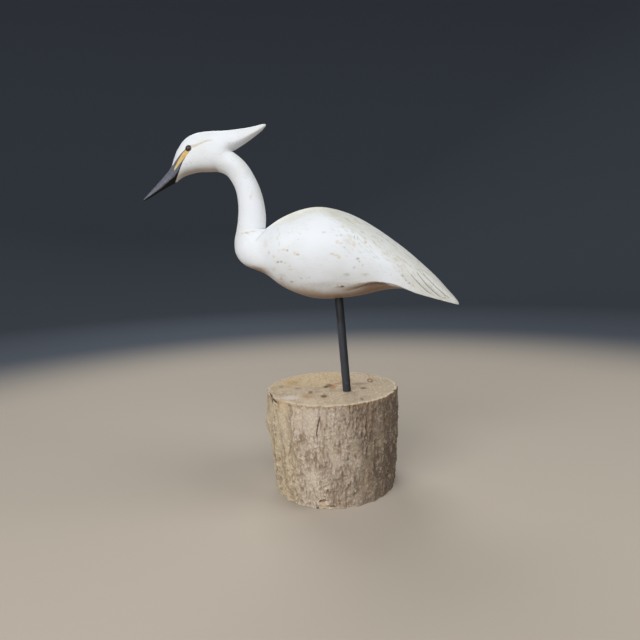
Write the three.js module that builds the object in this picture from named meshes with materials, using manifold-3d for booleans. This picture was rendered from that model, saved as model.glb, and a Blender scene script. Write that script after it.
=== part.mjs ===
// A carved and painted heron on a dowel leg, standing on a length of log that keeps its bark.
// Millimetres, +Z up. The origin is the centre of the log's underside. The bird looks along -X,
// and its plane of symmetry is parallel to XZ, at y = birdY.
import * as THREE from 'three';
import { mergeVertices } from 'three/addons/utils/BufferGeometryUtils.js';
import Module from 'manifold-3d';

const wasm = await Module();
wasm.setup();

// Driving dimensions
const gap = 0.3;              // clearance where two pieces meet
const logHeight = 110;
const logTopRadius = 72.5;
const logFootRadius = 66.8;
const logRim = 1.5;           // the sawn edge is broken this far, in and down
const legRadius = 4.4;
const legFoot = { x: 16, z: 110 };      // where the leg leaves the log
const legLean = THREE.MathUtils.degToRad(-3);   // its top leans towards the head
const legInLog = 32;
const legInBody = 24;
const bellyAboveLog = 100;    // bare length of the leg
const birdY = -20;            // the bird's plane of symmetry
const eyeRadius = 3;
const eyeAt = { x: -133.2, z: 364.9 };
const eyeProud = 1.5;         // how far the eye stands out of the head
const featherLineWidth = 1.5;
const featherLineDepth = 1.1;
const wingLip = 4.5;          // how far the belly is set in under the wing's edge
const backRidge = 0.25;       // how much sharper the back gets where the wings part from the belly

// The bark: upright plates around the log, a ripple over them, and a knob on its left side
const barkPlates = 22;
const plateRelief = 1.3;
const rippleRelief = 0.5;
const knob = { angle: THREE.MathUtils.degToRad(-176), z: 75, height: 4.2, spread: 8.6 };
// A loose flake of bark at the rim, with an open split behind it
const flake = {
  from: THREE.MathUtils.degToRad(-172),
  to: THREE.MathUtils.degToRad(-147),
  thick: 3.4,
  thickEnd: 1.8,
  deep: 13,
  opening: 1.3,
  facets: 8,
};
// The bite that a broken chip has left in the bark at the foot
const chip = { angle: THREE.MathUtils.degToRad(-101), z: 6.5, deep: 3.2, wide: 6, high: 4.2 };

// The body, as a carver's stations along X. At each: height of the back, height of the belly,
// half width, height of the widest line, height of the wing's lower edge, and how far that edge
// stands over the belly (0 is smooth, 1 is a full step).
const bodyStations = [
  [-86, 262, 258, 3, 260, 259, 0],
  [-80, 270.5, 248.5, 12, 259.5, 253, 0],
  [-66, 281.8, 239.8, 22.5, 260, 247, 0],
  [-46, 294.7, 223.8, 31.5, 259, 236, 0],
  [-24, 302.6, 213.8, 37, 258, 226, 0],
  [-4, 304.3, 210.3, 38.7, 256, 224, 0],
  [18, 298.9, 210.8, 37.5, 252, 223, 0.1],
  [40, 288.6, 213.6, 33.5, 246, 227.8, 0.6],
  [64, 272.3, 217.8, 28, 238, 224, 1],
  [88, 253, 217.4, 22.2, 225, 213.8, 1],
  [110, 231.9, 211.8, 16.4, 213.5, 206.4, 1],
  [127, 212.9, 204.4, 10.8, 204.4, 201.2, 1],
  [134, 204.4, 200.6, 6.2, 201, 199.2, 1],
  [136.4, 200.2, 199.2, 1.5, 199.7, 198.9, 1],
];

// The breast, the neck and the head, as stations from back or crown to front or throat:
// [x, z] of the back, [x, z] of the front, half width.
const breastStations = [
  [[-62.2, 284.6], [-92.8, 281.6], 14.4],
  [[-60, 279], [-94.6, 275.6], 15.6],
  [[-56, 273], [-95.3, 268.6], 17.8],
  [[-50, 267], [-94.6, 261.2], 20.3],
  [[-44, 260], [-91.6, 254.2], 22.3],
  [[-40, 252], [-86.6, 248.4], 22.8],
  [[-40, 244], [-79.5, 244.3], 20.5],
  [[-44, 238], [-71, 242.3], 14],
];
const neckStations = [
  [[-62.5, 285], [-92.7, 282], 14.3],
  [[-61.6, 296], [-90.4, 294.5], 13.2],
  [[-62.4, 309], [-89.1, 308.5], 12.6],
  [[-65.3, 322.5], [-90.2, 321.5], 12.2],
  [[-70, 335.5], [-93.4, 331], 12.1],
  [[-77.4, 348.8], [-98.9, 339.2], 12.4],
  [[-87.2, 359], [-106.8, 343.6], 12.9],
  [[-99, 366.5], [-117, 346.8], 12.9],
  [[-113, 372], [-130, 349], 12],
];
// The head runs from the bill's tip to the crest's tip. Two more numbers at each station: where
// the widest line lies between crown and throat, and how full the section is (0.55 is an ellipse).
const headStations = [
  [[-185.6, 318.8], [-185.2, 317.5], 0.7, 0.6, 0.5],
  [[-179.2, 325.2], [-177.2, 321], 2.1, 0.6, 0.38],
  [[-171.2, 332.6], [-167, 326.5], 3.8, 0.6, 0.34],
  [[-162.4, 341.2], [-158, 331.2], 5.7, 0.6, 0.34],
  [[-154.8, 350], [-151.3, 334.4], 7.8, 0.6, 0.38],
  [[-151, 358.2], [-144.9, 339], 10.2, 0.6, 0.48],
  [[-146.4, 367.2], [-137, 342], 12.3, 0.6, 0.55],
  [[-138.2, 376.5], [-127, 343.5], 14, 0.6, 0.58],
  [[-127, 381.6], [-116, 343.1], 14.8, 0.6, 0.6],
  [[-113, 383.1], [-106, 345], 14.4, 0.6, 0.6],
  [[-99.5, 383.3], [-96.5, 360.5], 12.2, 0.62, 0.58],
  [[-88, 384.1], [-88.4, 365.4], 9.8, 0.66, 0.56],
  [[-76.5, 385.2], [-78.4, 371], 7.6, 0.68, 0.56],
  [[-67, 386.8], [-69, 377], 5.6, 0.68, 0.56],
  [[-60, 388.3], [-61.8, 382], 3.6, 0.66, 0.55],
  [[-56.8, 388], [-57.6, 385.9], 1.3, 0.6, 0.55],
];
// Incised lines between the tail feathers, on both sides: start and end as [x, z], and sag.
const featherLines = [
  { from: [73.4, 232], to: [88.1, 218.6], sag: 1.4 },
  { from: [82.4, 233.5], to: [107, 210], sag: 2.2 },
  { from: [89.8, 234.9], to: [118.2, 207], sag: 4.2 },
  { from: [96.3, 233.8], to: [126.6, 205.4], sag: 2.3 },
];

// Resolution
const bodySteps = 39;
const neckSteps = 18;
const breastSteps = 12;
const headSteps = 36;
const upperFacets = 7;        // facets from the ridge to the widest line
const sideFacets = 5;         // from there to the wing's edge
const underFacets = 5;        // under the wing's edge, to the middle of the belly
const roundFacets = 10;       // half of a round section
const featherSteps = 7;
const legFacets = 24;
const barkFacets = 84;
const barkRows = 11;

// One row of a table at u, from 0 to 1, on a smooth curve through its rows
function stationAt(rows, u) {
  const last = rows.length - 1;
  const place = u * last;
  const i = Math.min(Math.floor(place), last - 1);
  const t = place - i;
  const before = rows[Math.max(i - 1, 0)];
  const after = rows[Math.min(i + 2, last)];
  const blend = (a, b, c, d) => {
    if (Array.isArray(b)) {
      return b.map((_, k) => blend(a[k], b[k], c[k], d[k]));
    }
    const bend = (2 * a - 5 * b + 4 * c - d) * t * t + (3 * (b - c) + d - a) * t * t * t;
    return b + 0.5 * ((c - a) * t + bend);
  };
  return blend(before, rows[i], rows[i + 1], after);
}

// A closed solid through rings of the same number of points, its ends closed by fans
function loft(rings) {
  const around = rings[0].length;
  const points = rings.flat();
  const index = [];
  for (let r = 0; r + 1 < rings.length; r += 1) {
    for (let k = 0; k < around; k += 1) {
      const a = r * around + k;
      const b = r * around + ((k + 1) % around);
      index.push(a, b, a + around, b, b + around, a + around);
    }
  }
  for (const r of [0, rings.length - 1]) {
    const centre = new THREE.Vector3();
    rings[r].forEach((point) => centre.addScaledVector(point, 1 / around));
    points.push(centre);
    for (let k = 0; k < around; k += 1) {
      const a = r * around + k;
      const b = r * around + ((k + 1) % around);
      index.push(points.length - 1, r ? a : b, r ? b : a);
    }
  }
  const geometry = new THREE.BufferGeometry().setFromPoints(points);
  geometry.setIndex(index);
  return facingOut(geometry);
}

// The same solid with its triangles turned to face out, if they face in
function facingOut(geometry) {
  const index = geometry.index.array;
  const corner = [0, 1, 2].map(() => new THREE.Vector3());
  let volume = 0;
  for (let i = 0; i < index.length; i += 3) {
    corner.forEach((v, k) => v.fromBufferAttribute(geometry.attributes.position, index[i + k]));
    volume += corner[0].dot(corner[1].cross(corner[2]));
  }
  if (volume < 0) {
    for (let i = 0; i < index.length; i += 3) {
      [index[i], index[i + 1]] = [index[i + 1], index[i]];
    }
  }
  return geometry;
}

function toSolid(geometry) {
  const bare = geometry.clone();
  bare.deleteAttribute('normal');
  bare.deleteAttribute('uv');
  const merged = mergeVertices(bare);
  return new wasm.Manifold(new wasm.Mesh({
    numProp: 3,
    vertProperties: new Float32Array(merged.attributes.position.array),
    triVerts: new Uint32Array(merged.index.array),
  }));
}

function toGeometry(solid) {
  const mesh = solid.getMesh();
  const geometry = new THREE.BufferGeometry();
  geometry.setAttribute('position', new THREE.BufferAttribute(new Float32Array(mesh.vertProperties), 3));
  geometry.setIndex(Array.from(mesh.triVerts));
  geometry.computeVertexNormals();
  return geometry;
}

// A half section is [depth, half width] pairs from the ridge down; the ring has both halves.
// Depth is measured from the crown point towards the throat or belly point.
function ringFrom(crown, throat, half) {
  const along = new THREE.Vector3(throat[0] - crown[0], 0, throat[1] - crown[1]).normalize();
  const at = ([depth, y]) => new THREE.Vector3(crown[0], birdY + y, crown[1]).addScaledVector(along, depth);
  const right = half.map(at);
  const left = half.slice(1, -1).reverse().map(([depth, y]) => at([depth, -y]));
  return [...right, ...left];
}

// Round or lozenge section of the neck and head
function roundSection([crown, throat, half, widest = 0.5, full = 0.55]) {
  const deep = Math.hypot(throat[0] - crown[0], throat[1] - crown[1]);
  const side = deep * widest;
  const upper = new THREE.CubicBezierCurve(
    new THREE.Vector2(0, 0), new THREE.Vector2(0, full * half),
    new THREE.Vector2(side * (1 - full), half), new THREE.Vector2(side, half));
  const lower = new THREE.CubicBezierCurve(
    new THREE.Vector2(side, half), new THREE.Vector2(side + (deep - side) * full, half),
    new THREE.Vector2(deep, full * half), new THREE.Vector2(deep, 0));
  const split = Math.ceil(roundFacets / 2);
  const points = [];
  for (let k = 0; k <= roundFacets; k += 1) {
    const on = k <= split ? upper.getPoint(k / split) : lower.getPoint((k - split) / (roundFacets - split));
    points.push(on.toArray());
  }
  return ringFrom(crown, throat, points);
}

// Section of the body: an arched back, then the flank down to the wing's edge, then the belly.
// Where the wing stands over the belly the flank is nearly straight and the belly starts set in.
function bodySection([x, back, belly, half, widest, edge, step]) {
  const deep = back - belly;
  const wide = back - widest;
  const points = [];
  for (let k = 0; k < upperFacets; k += 1) {
    const angle = (Math.PI / 2) * (k / upperFacets);
    const tent = 1 + backRidge * step;
    points.push([wide * (1 - Math.cos(angle)) ** (1 / tent), half * Math.sin(angle) ** tent]);
  }
  const facets = sideFacets + underFacets;
  const edgeHalf = half * 0.98;
  const lip = Math.min(wingLip, 0.3 * half);
  for (let k = 0; k <= facets; k += 1) {
    const angle = (Math.PI / 2) * (k / facets);
    const smooth = [wide + (deep - wide) * Math.sin(angle), half * Math.cos(angle)];
    const stepped = [0, 0];
    if (k <= sideFacets) {
      const t = k / sideFacets;
      stepped[0] = wide + (back - edge - wide) * t;
      stepped[1] = half + (edgeHalf - half) * t * t;
    } else {
      const t = (Math.PI / 2) * ((k - sideFacets - 1) / (underFacets - 1));
      stepped[0] = back - edge + (deep - back + edge) * Math.sin(t);
      stepped[1] = (edgeHalf - lip) * Math.cos(t);
    }
    points.push(smooth.map((value, i) => THREE.MathUtils.lerp(value, stepped[i], step)));
  }
  return ringFrom([x, back], [x, belly], points);
}

function loftStations(rows, steps, section) {
  const rings = [];
  for (let i = 0; i <= steps; i += 1) {
    rings.push(section(stationAt(rows, i / steps)));
  }
  return toSolid(loft(rings));
}

// Point where a line along Y, from one side of the bird, first meets a surface
function meetFromSide(geometry, x, z, side) {
  const target = new THREE.Mesh(geometry, new THREE.MeshBasicMaterial({ side: THREE.DoubleSide }));
  const reach = 200;
  const start = new THREE.Vector3(x, birdY + side * reach, z);
  const hits = new THREE.Raycaster(start, new THREE.Vector3(0, -side, 0)).intersectObject(target);
  return hits[0];
}

// A V cut along one feather line, on one side of the tail; it starts and ends shallow and narrow
function featherCut(geometry, line, side) {
  const [x0, z0] = line.from;
  const [x1, z1] = line.to;
  const path = new THREE.QuadraticBezierCurve(
    new THREE.Vector2(x0, z0),
    new THREE.Vector2((x0 + x1) / 2 - line.sag, (z0 + z1) / 2 - line.sag),
    new THREE.Vector2(x1, z1));
  const rings = [];
  for (let i = 0; i <= featherSteps; i += 1) {
    const point = path.getPoint(i / featherSteps);
    const along = path.getTangent(i / featherSteps);
    const hit = meetFromSide(geometry, point.x, point.y, side);
    const fromEnd = Math.min(i, featherSteps - i) / featherSteps;
    const fade = Math.min(1, 0.35 + 2.5 * fromEnd);
    const across = new THREE.Vector3(-along.y, 0, along.x).multiplyScalar(featherLineWidth * fade);
    const above = hit.point.clone().add(new THREE.Vector3(0, side, 0));
    const root = hit.point.clone().add(new THREE.Vector3(0, -side * featherLineDepth * fade, 0));
    rings.push([root, above.clone().add(across), above.clone().sub(across)]);
  }
  return toSolid(loft(rings));
}

// The leg, a plain cylinder along its leaning axis; extra widens it for the holes that hold it
function legSolid(extra) {
  const length = legInLog + bellyAboveLog + legInBody + 2 * extra;
  const radius = legRadius + extra;
  const geometry = new THREE.CylinderGeometry(radius, radius, length, legFacets);
  geometry.rotateX(Math.PI / 2);
  geometry.translate(0, 0, length / 2 - legInLog - extra);
  geometry.rotateY(legLean);
  geometry.translate(legFoot.x, birdY, legFoot.z);
  return toSolid(geometry);
}

// Outer radius of the bark: a tapered log that leans back a little and is deeper than it is wide
// at the top, with upright plates that wander, a ripple, and the knob
function barkRadius(angle, z) {
  const t = z / logHeight;
  const taper = logTopRadius - (logTopRadius - logFootRadius) * (1 - t) ** 2;
  const lean = 0.2 * Math.cos(angle) + 1.1 * Math.sin(angle);
  const deeper = (1.7 * t - 0.5) * Math.sin(angle) ** 2;
  const threeSided = 0.6 * Math.sin(3 * angle + 1);
  const wander = 0.05 * Math.sin(5 * t + 2 * angle) + 0.03 * Math.sin(13 * t + angle);
  const plates = plateRelief * (Math.abs(Math.sin((barkPlates / 2) * (angle + wander))) - 0.6);
  const ripple = rippleRelief * Math.sin(29 * angle + 9 * t) * Math.sin(7 * t * Math.PI + 3 * angle);
  const turn = Math.atan2(Math.sin(angle - knob.angle), Math.cos(angle - knob.angle));
  const fromKnob = Math.hypot(turn * logTopRadius, 0.8 * (z - knob.z)) / knob.spread;
  return taper + lean + deeper + threeSided + plates + ripple + knob.height * Math.exp(-(fromKnob ** 2));
}

// Point of the log at an angle around its axis, a radius and a height
function onLog(angle, radius, z) {
  return new THREE.Vector3(radius * Math.cos(angle), radius * Math.sin(angle), z);
}

function logSolid() {
  const levels = [];
  for (let row = 0; row < barkRows; row += 1) {
    levels.push({ z: logHeight * row / barkRows, inset: 0 });
  }
  levels.push({ z: logHeight - logRim, inset: 0 }, { z: logHeight, inset: logRim });
  const rings = levels.map(({ z, inset }) => {
    const ring = [];
    for (let k = 0; k < barkFacets; k += 1) {
      const angle = 2 * Math.PI * k / barkFacets;
      ring.push(onLog(angle, barkRadius(angle, z) - inset, z));
    }
    return ring;
  });
  return toSolid(loft(rings));
}

// The open split behind the loose flake, a thin curved slot down from the rim
function flakeSplit() {
  const rings = [];
  for (let i = 0; i <= flake.facets; i += 1) {
    const t = i / flake.facets;
    const angle = THREE.MathUtils.lerp(flake.from, flake.to, t);
    const radius = barkRadius(angle, logHeight) - THREE.MathUtils.lerp(flake.thick, flake.thickEnd, t);
    const halfOpen = flake.opening * (0.1 + 0.4 * Math.sin(Math.PI * t));
    const foot = logHeight - flake.deep * Math.sin(Math.PI * (0.15 + 0.7 * t));
    const above = logHeight + 1;
    rings.push([
      onLog(angle, radius - halfOpen, above),
      onLog(angle, radius + halfOpen, above),
      onLog(angle, radius, foot),
    ]);
  }
  return toSolid(loft(rings));
}

function footChip() {
  const geometry = new THREE.SphereGeometry(1, 10, 6);
  geometry.scale(chip.deep, chip.wide, chip.high);
  geometry.translate(barkRadius(chip.angle, chip.z), 0, chip.z);
  geometry.rotateZ(chip.angle);
  return toSolid(geometry);
}

function paint(color, roughness) {
  return new THREE.MeshStandardMaterial({ color, roughness, metalness: 0 });
}

// The pieces
const model = new THREE.Group();
function add(name, solid, material) {
  const mesh = new THREE.Mesh(toGeometry(solid), material);
  mesh.name = name;
  model.add(mesh);
}

const legHole = legSolid(gap);
const breast = loftStations(breastStations, breastSteps, roundSection);
const plainBody = loftStations(bodyStations, bodySteps, bodySection).add(breast);
const plainGeometry = toGeometry(plainBody);
let body = plainBody.subtract(legHole);
for (const line of featherLines) {
  for (const side of [-1, 1]) {
    body = body.subtract(featherCut(plainGeometry, line, side));
  }
}
add('body', body, paint(0xe6e8ea, 0.45));

const head = loftStations(headStations, headSteps, roundSection);
const headGeometry = toGeometry(head);
let headAndNeck = loftStations(neckStations, neckSteps, roundSection).add(head);
const eyes = [['right_eye', 1], ['left_eye', -1]].map(([name, side]) => {
  const hit = meetFromSide(headGeometry, eyeAt.x, eyeAt.z, side);
  const centre = hit.point.clone().add(new THREE.Vector3(0, side * (eyeProud - eyeRadius), 0));
  const ball = (radius) => {
    const geometry = new THREE.SphereGeometry(radius, 14, 8);
    geometry.rotateX(Math.PI / 2);
    return toSolid(geometry.translate(centre.x, centre.y, centre.z));
  };
  headAndNeck = headAndNeck.subtract(ball(eyeRadius + gap));
  return { name, solid: ball(eyeRadius) };
});
add('head_and_neck', headAndNeck, paint(0xe6e8ea, 0.45));
eyes.forEach(({ name, solid }) => add(name, solid, paint(0x2a1c14, 0.08)));

add('leg', legSolid(0), paint(0x2b3038, 0.45));
const logBase = logSolid().subtract(legHole).subtract(flakeSplit()).subtract(footChip());
add('log_base', logBase, paint(0xa8957a, 0.9));

export default model;
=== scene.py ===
import math

import bmesh
import bpy
import numpy as np
from mathutils import Matrix, Vector, geometry, noise
from mathutils.bvhtree import BVHTree


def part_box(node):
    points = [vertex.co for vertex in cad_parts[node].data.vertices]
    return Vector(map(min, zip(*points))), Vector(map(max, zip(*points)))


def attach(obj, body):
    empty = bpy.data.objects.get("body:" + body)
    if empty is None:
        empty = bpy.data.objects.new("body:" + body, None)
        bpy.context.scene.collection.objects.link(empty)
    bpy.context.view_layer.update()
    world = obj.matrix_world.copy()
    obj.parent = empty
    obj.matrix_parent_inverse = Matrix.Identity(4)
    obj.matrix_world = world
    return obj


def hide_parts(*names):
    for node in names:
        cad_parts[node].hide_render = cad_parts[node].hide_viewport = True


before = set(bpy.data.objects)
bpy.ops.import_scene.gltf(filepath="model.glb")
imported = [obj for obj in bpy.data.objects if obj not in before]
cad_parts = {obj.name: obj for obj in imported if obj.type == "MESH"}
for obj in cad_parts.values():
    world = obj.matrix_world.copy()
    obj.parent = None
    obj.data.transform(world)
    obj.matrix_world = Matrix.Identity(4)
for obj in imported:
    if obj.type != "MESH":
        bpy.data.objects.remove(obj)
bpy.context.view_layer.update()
scene = bpy.context.scene
mm = 0.001

# The view: a moderately wide lens level with the bird's breast, close in front of it, tipped
# down a little and held slightly out of level.
view_from = Vector((-0.0100, -0.5416, 0.2527))
view_down = math.radians(7.102)
view_roll = math.radians(-2.2166)
lens = bpy.data.cameras.new("view")
lens.lens = 28
lens.sensor_width = 36
camera = bpy.data.objects.new("view", lens)
camera.matrix_world = (
    Matrix.Translation(view_from)
    @ Matrix.Rotation(math.pi / 2 - view_down, 4, "X")
    @ Matrix.Rotation(view_roll, 4, "Z")
)
scene.collection.objects.link(camera)
scene.camera = camera
scene.view_settings.view_transform = "Standard"

# The stage: a pale floor that darkens away from the bird and curves up into a plain grey wall,
# two broad soft lights from the front, and two more from the right and from behind.
floor_colour = (0.47, 0.41, 0.34)
wall_colour = (0.075, 0.09, 0.115)
floor_reach = 2.0
wall_reach = 2.7
wall_height = 3.2
wall_curve = wall_reach - floor_reach
stage_turns = 96


class Wire:
    """A socket of a node tree. Sums on wires add Math nodes; node() adds any other node."""

    def __init__(self, tree, socket=None):
        self.tree = tree
        self.socket = socket

    def node(self, kind, settings, values, output=0):
        made = self.tree.nodes.new(kind)
        for name, setting in settings.items():
            setattr(made, name, setting)
        for name, value in values.items():
            if isinstance(value, Wire):
                self.tree.links.new(value.socket, made.inputs[name])
            else:
                made.inputs[name].default_value = value
        return Wire(self.tree, made.outputs[output])

    def sum(self, operation, *values):
        return self.node("ShaderNodeMath", {"operation": operation}, dict(enumerate(values)))

    def __add__(self, other):
        return self.sum("ADD", self, other)

    def __radd__(self, other):
        return self.sum("ADD", other, self)

    def __sub__(self, other):
        return self.sum("SUBTRACT", self, other)

    def __rsub__(self, other):
        return self.sum("SUBTRACT", other, self)

    def __mul__(self, other):
        return self.sum("MULTIPLY", self, other)

    def __rmul__(self, other):
        return self.sum("MULTIPLY", other, self)

    def __abs__(self):
        return self.sum("ABSOLUTE", self)


def rises(value, low, high):
    """0 below low, 1 above high, and smooth between"""
    return value.node("ShaderNodeMapRange", {"interpolation_type": "SMOOTHSTEP"},
                      {"Value": value, "From Min": low, "From Max": high})


def laid_over(under, *coats):
    """Coats laid over a colour one after another: each a colour and a mask, 1 where it covers"""
    for over, mask in coats:
        pair = [colour if isinstance(colour, Wire) else (*colour, 1) for colour in (under, over)]
        under = mask.node("ShaderNodeMix", {"data_type": "RGBA"}, {0: mask, 6: pair[0], 7: pair[1]}, 2)
    return under


def on_vectors(operation, *values):
    """Vector Math on wires and plain vectors, the first of them a wire"""
    output = "Value" if operation in ("LENGTH", "DISTANCE") else 0
    return values[0].node("ShaderNodeVectorMath", {"operation": operation}, dict(enumerate(values)), output)


def new_finish(name):
    """A new material: its shader, and a wire with the place on the piece"""
    material = bpy.data.materials.new(name)
    material.use_nodes = True
    shader = material.node_tree.nodes["Principled BSDF"]
    place = Wire(material.node_tree).node("ShaderNodeTexCoord", {}, {}, "Object")
    return material, shader, place


def along_axis(axis):
    """The place on the piece along one axis"""
    return place.node("ShaderNodeSeparateXYZ", {}, {0: place}, axis)


def feed(shader, colour, roughness, height=None, depth=0.0):
    """Leads colour, roughness and a bump of that depth into a shader"""
    tree = colour.tree
    tree.links.new(colour.socket, shader.inputs["Base Color"])
    if isinstance(roughness, Wire):
        tree.links.new(roughness.socket, shader.inputs["Roughness"])
    else:
        shader.inputs["Roughness"].default_value = roughness
    if height is not None:
        bump = height.node("ShaderNodeBump", {}, {"Strength": 1.0, "Distance": depth, "Height": height})
        tree.links.new(bump.socket, shader.inputs["Normal"])


def full_turn(count):
    """Angles of points spread evenly around a full turn"""
    return np.linspace(0, 2 * math.pi, count, endpoint=False)


def new_piece(name, points, faces):
    """A new piece in the scene from points, in metres, and faces"""
    mesh = bpy.data.meshes.new(name)
    mesh.from_pydata(points.tolist(), [], faces)
    piece = bpy.data.objects.new(name, mesh)
    scene.collection.objects.link(piece)
    return piece


def bands(rows, around, first=0):
    """Four-sided faces between rings of points that are numbered on from the first point"""
    k = np.arange(around)
    after = (k + 1) % around
    faces = []
    for a in range(first, first + (rows - 1) * around, around):
        faces += np.stack([a + k, a + after, a + around + after, a + around + k], 1).tolist()
    return faces


profile = [(0.0, 0.0), (0.5 * floor_reach, 0.0), (floor_reach, 0.0)]
for bend in np.linspace(0, math.pi / 2, 13)[1:]:
    profile.append((floor_reach + wall_curve * math.sin(bend), wall_curve * (1 - math.cos(bend))))
profile.append((wall_reach, wall_height))
turns = full_turn(stage_turns)
stage_points = [(r * math.cos(turn), r * math.sin(turn), z) for r, z in profile[::-1] for turn in turns]
stage = new_piece("stage", np.array(stage_points), bands(len(profile), stage_turns))
stage.data.shade_smooth()
stage_finish, stage_shader, place = new_finish("stage")
away_from_bird = rises(on_vectors("LENGTH", place), 0.65, 1.25)
feed(stage_shader, laid_over(floor_colour, (wall_colour, away_from_bird)), 0.85)
stage.data.materials.append(stage_finish)

light_size = 1.2
lights_aim_at = Vector((0, 0, 0.22))
# Square soft lights: place, watts, colour
lights = {
    "window": ((-1.04, -1.48, 1.07), 24, (1.0, 0.99, 0.985)),
    "front": ((0, -1.73, 1.22), 16.5, (0.95, 0.98, 1.0)),
    "right": ((1.58, -0.42, 1.37), 17, (0.98, 0.99, 1.0)),
    "back": ((-0.48, 1.33, 1.63), 17.5, (0.97, 0.99, 1.0)),
}
for name, (hung_at, watts, colour) in lights.items():
    lamp = bpy.data.lights.new(name, "AREA")
    lamp.size = light_size
    lamp.energy = watts
    lamp.color = colour
    light = bpy.data.objects.new(name, lamp)
    light.location = hung_at
    light.rotation_euler = (lights_aim_at - light.location).to_track_quat("-Z", "Y").to_euler()
    light.visible_camera = False
    scene.collection.objects.link(light)
sky = bpy.data.worlds.new("sky")
sky.use_nodes = True
background = sky.node_tree.nodes["Background"]
background.inputs["Color"].default_value = (0.9, 0.95, 1.0, 1)
background.inputs["Strength"].default_value = 0.03
scene.world = sky

# The body: breast, folded wings and tail carved from one block of wood and sanded. The wings'
# lower edges stand over the belly behind the leg, and lines are cut between the tail feathers.
bird_y = -20
# At each x: back, belly, half width, widest line, wing's edge, how far the edge stands proud
body_stations = [
    [-86, 262, 258, 3, 260, 259, 0],
    [-80, 270.5, 248.5, 12, 259.5, 253, 0],
    [-66, 281.8, 239.8, 22.5, 260, 247, 0],
    [-46, 294.7, 223.8, 31.5, 259, 236, 0],
    [-24, 302.6, 213.8, 37, 258, 226, 0],
    [-4, 304.3, 210.3, 38.7, 256, 224, 0],
    [18, 298.9, 210.8, 37.5, 252, 223, 0.1],
    [40, 288.6, 213.6, 33.5, 246, 227.8, 0.6],
    [64, 272.3, 217.8, 28, 238, 224, 1],
    [88, 253, 217.4, 22.2, 225, 213.8, 1],
    [110, 231.9, 211.8, 16.4, 213.5, 206.4, 1],
    [127, 212.9, 204.4, 10.8, 204.4, 201.2, 1],
    [134, 204.4, 200.6, 6.2, 201, 199.2, 1],
    [136.4, 200.2, 199.2, 1.5, 199.7, 198.9, 1],
]
wing_lip = 4.5
back_ridge = 0.25
# Breast: x and z of its back, x and z of its front, half width
breast_stations = [
    [-62.2, 285.6, -92.8, 282.3, 14.35],
    [-60, 279, -94.6, 275.6, 15.6],
    [-56, 273, -95.3, 268.6, 17.8],
    [-50, 267, -94.6, 261.2, 20.3],
    [-44, 260, -91.6, 254.2, 22.3],
    [-40, 252, -86.6, 248.4, 22.8],
    [-40, 244, -79.5, 244.3, 20.5],
    [-44, 238, -71, 242.3, 14],
]


def between_stations(rows, places):
    """Rows of a table at any places along it, on a smooth curve through its own rows"""
    rows = np.array(rows, float)
    places = np.asarray(places, float)
    i = np.minimum(places.astype(int), len(rows) - 2)
    t = (places - i)[:, None]
    a = rows[np.maximum(i - 1, 0)]
    b = rows[i]
    c = rows[i + 1]
    d = rows[np.minimum(i + 2, len(rows) - 1)]
    bend = (2 * a - 5 * b + 4 * c - d) * t**2 + (3 * (b - c) + d - a) * t**3
    return b + 0.5 * ((c - a) * t + bend)


def places_along(middles, spacing):
    """Places in a table that lie a given spacing apart; spacing may change from row to row"""
    middles = np.array(middles, float)
    spacing = np.broadcast_to(spacing, len(middles) - 1)
    steps = np.concatenate([[0], np.cumsum(np.linalg.norm(np.diff(middles, axis=0), axis=1) / spacing)])
    return np.interp(np.linspace(0, steps[-1], int(steps[-1]) + 1), steps, np.arange(len(middles)))


def both_halves(crown, throat, half):
    """A ring from half a section: depth from the crown point to the throat point, and width"""
    along = np.array([throat[0] - crown[0], 0, throat[1] - crown[1]])
    along = along / np.linalg.norm(along)
    start = np.array([crown[0], bird_y, crown[1]])
    depth, width = half
    right = start + depth[:, None] * along + width[:, None] * np.array([0, 1, 0])
    left = right[-2:0:-1] * [1, -1, 1] + [0, 2 * bird_y, 0]
    return np.concatenate([right, left])


def round_section(crown, throat, half_width, widest=0.5, full=0.55, points=24):
    """Half a round or lozenge section, from two curves that meet at the widest line"""
    deep = math.dist(crown, throat)
    side = deep * widest
    t = np.linspace(0, 1, points + 1)[:, None]

    def curve(*handles):
        a, b, c, d = np.array(handles, float)
        return a * (1 - t)**3 + 3 * b * t * (1 - t)**2 + 3 * c * t**2 * (1 - t) + d * t**3

    upper = curve((0, 0), (0, full * half_width), (side * (1 - full), half_width), (side, half_width))
    lower = curve((side, half_width), (side + (deep - side) * full, half_width),
                  (deep, full * half_width), (deep, 0))
    return both_halves(crown, throat, np.concatenate([upper, lower[1:]]).T)


def round_rings(stations, spacing):
    """Rings of round sections through the rows of a table, about the spacing apart"""
    middles = [[(a + c) / 2, (b + d) / 2] for a, b, c, d, *_ in stations]
    rows = between_stations(stations, places_along(middles, spacing))
    return [round_section(row[:2], row[2:4], *row[4:]) for row in rows]


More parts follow.
